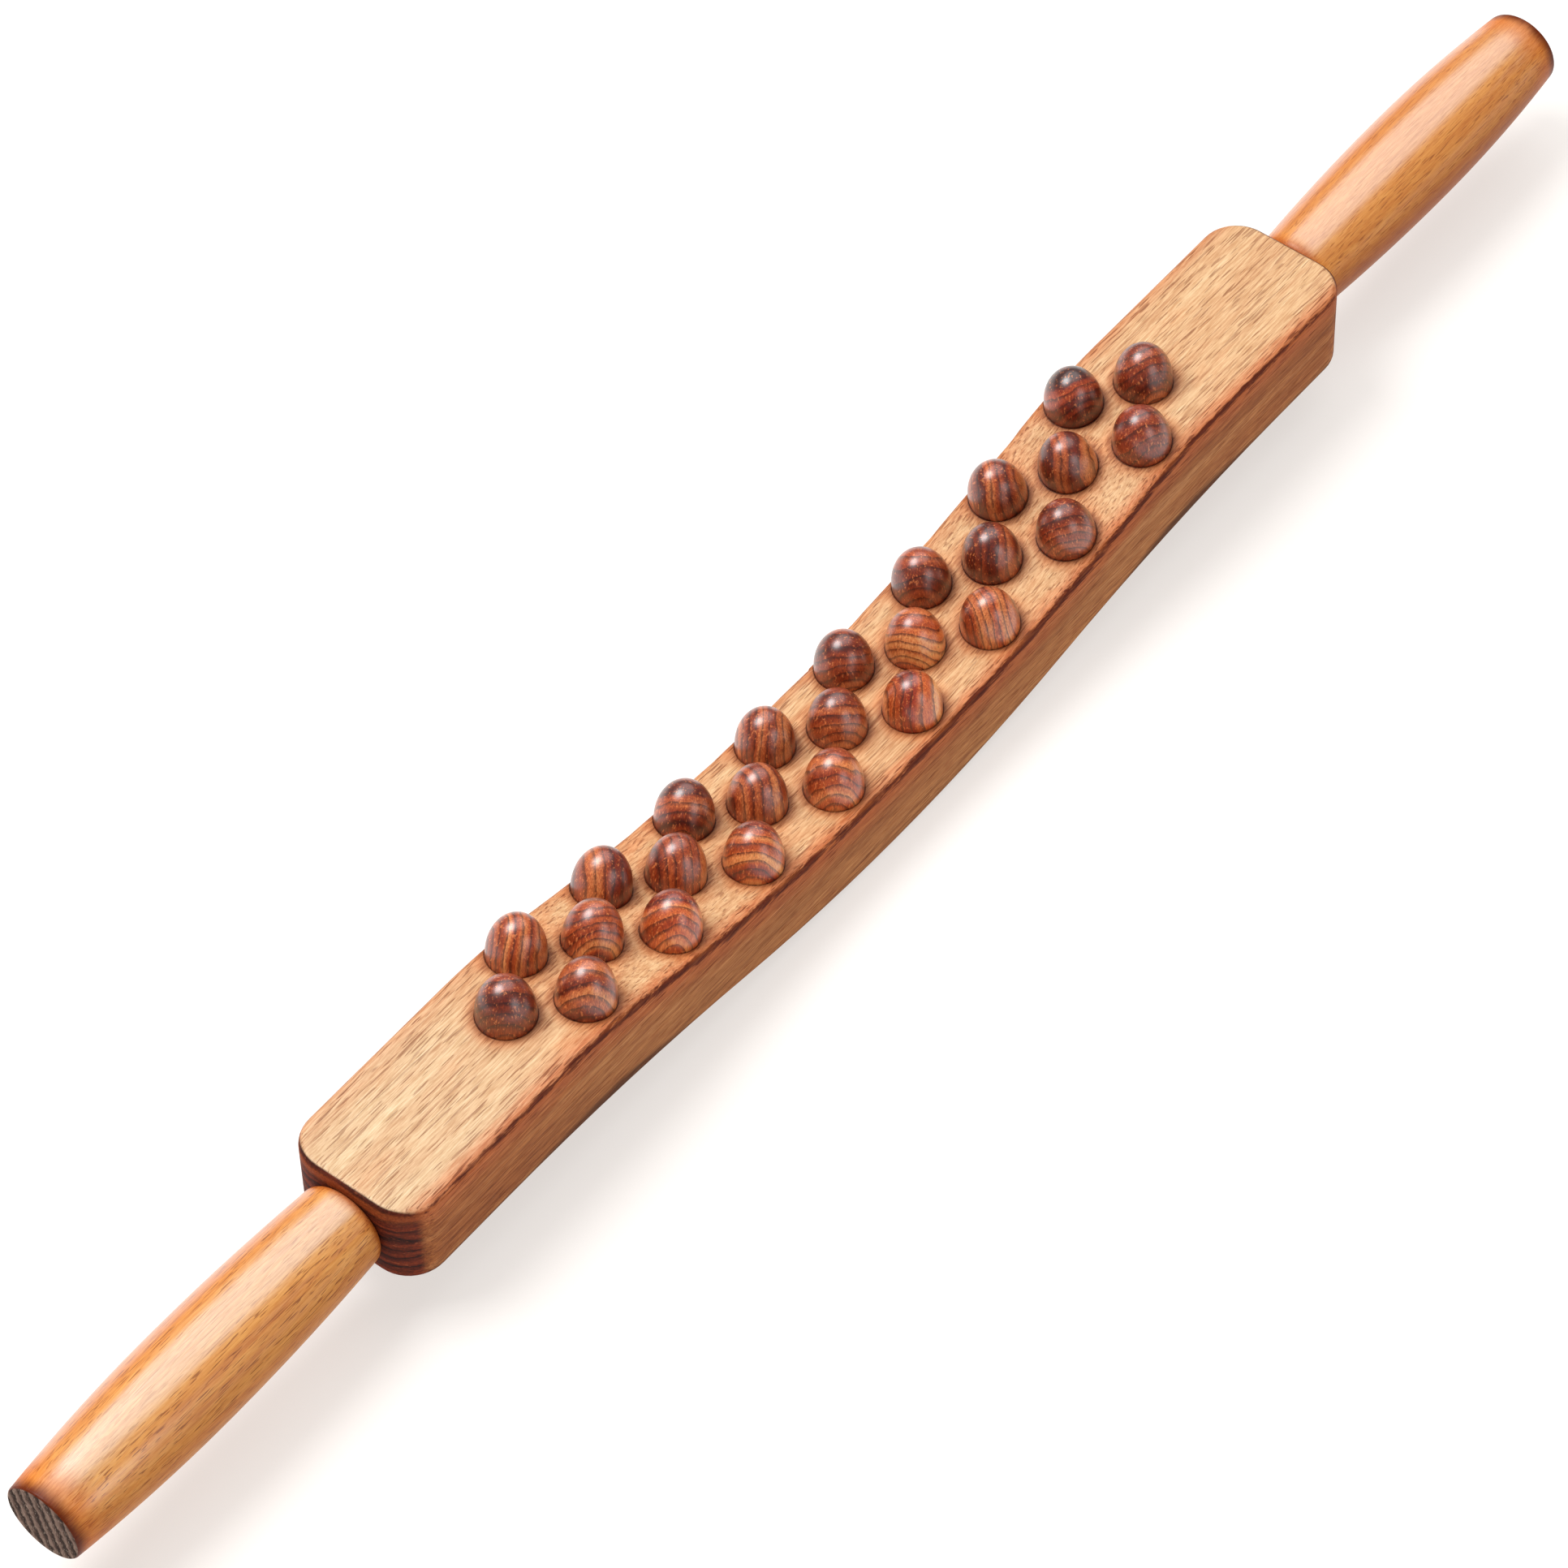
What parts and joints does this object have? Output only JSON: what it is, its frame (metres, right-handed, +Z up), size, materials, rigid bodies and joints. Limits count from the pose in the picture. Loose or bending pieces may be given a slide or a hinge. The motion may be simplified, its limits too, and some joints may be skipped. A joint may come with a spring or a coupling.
{
  "type": "massage bar",
  "caption": "Two-handed wooden massage bar: a dished beech beam with staggered rows of domed hardwood knobs and a turned handle on each end.",
  "frame": {"origin": "middle of the bar's length and width, on the level plane that the belly of the beam rests on", "axes": "+X along the bar towards the right handle, +Z up out of the knobbed face, -Y towards the front"},
  "size_m": [0.6206, 0.042, 0.0552],
  "materials": {
    "beam_beech": "oiled, satin",
    "handle_beech": "clear lacquer, semi-gloss",
    "dowel_wood": "bare",
    "knob_dark_wood": "varnish, satin"
  },
  "bodies": {
    "root": {"beam": "beam_beech", "left_handle": "handle_beech", "right_handle": "handle_beech", "left_dowel": "dowel_wood", "right_dowel": "dowel_wood", "knob_front_1": "knob_dark_wood", "knob_front_2": "knob_dark_wood", "knob_front_3": "knob_dark_wood", "knob_front_4": "knob_dark_wood", "knob_front_5": "knob_dark_wood", "knob_front_6": "knob_dark_wood", "knob_front_7": "knob_dark_wood", "knob_front_8": "knob_dark_wood", "knob_middle_1": "knob_dark_wood", "knob_middle_2": "knob_dark_wood", "knob_middle_3": "knob_dark_wood", "knob_middle_4": "knob_dark_wood", "knob_middle_5": "knob_dark_wood", "knob_middle_6": "knob_dark_wood", "knob_middle_7": "knob_dark_wood", "knob_middle_8": "knob_dark_wood", "knob_middle_9": "knob_dark_wood", "knob_back_1": "knob_dark_wood", "knob_back_2": "knob_dark_wood", "knob_back_3": "knob_dark_wood", "knob_back_4": "knob_dark_wood", "knob_back_5": "knob_dark_wood", "knob_back_6": "knob_dark_wood", "knob_back_7": "knob_dark_wood", "knob_back_8": "knob_dark_wood"}
  },
  "joints": []
}
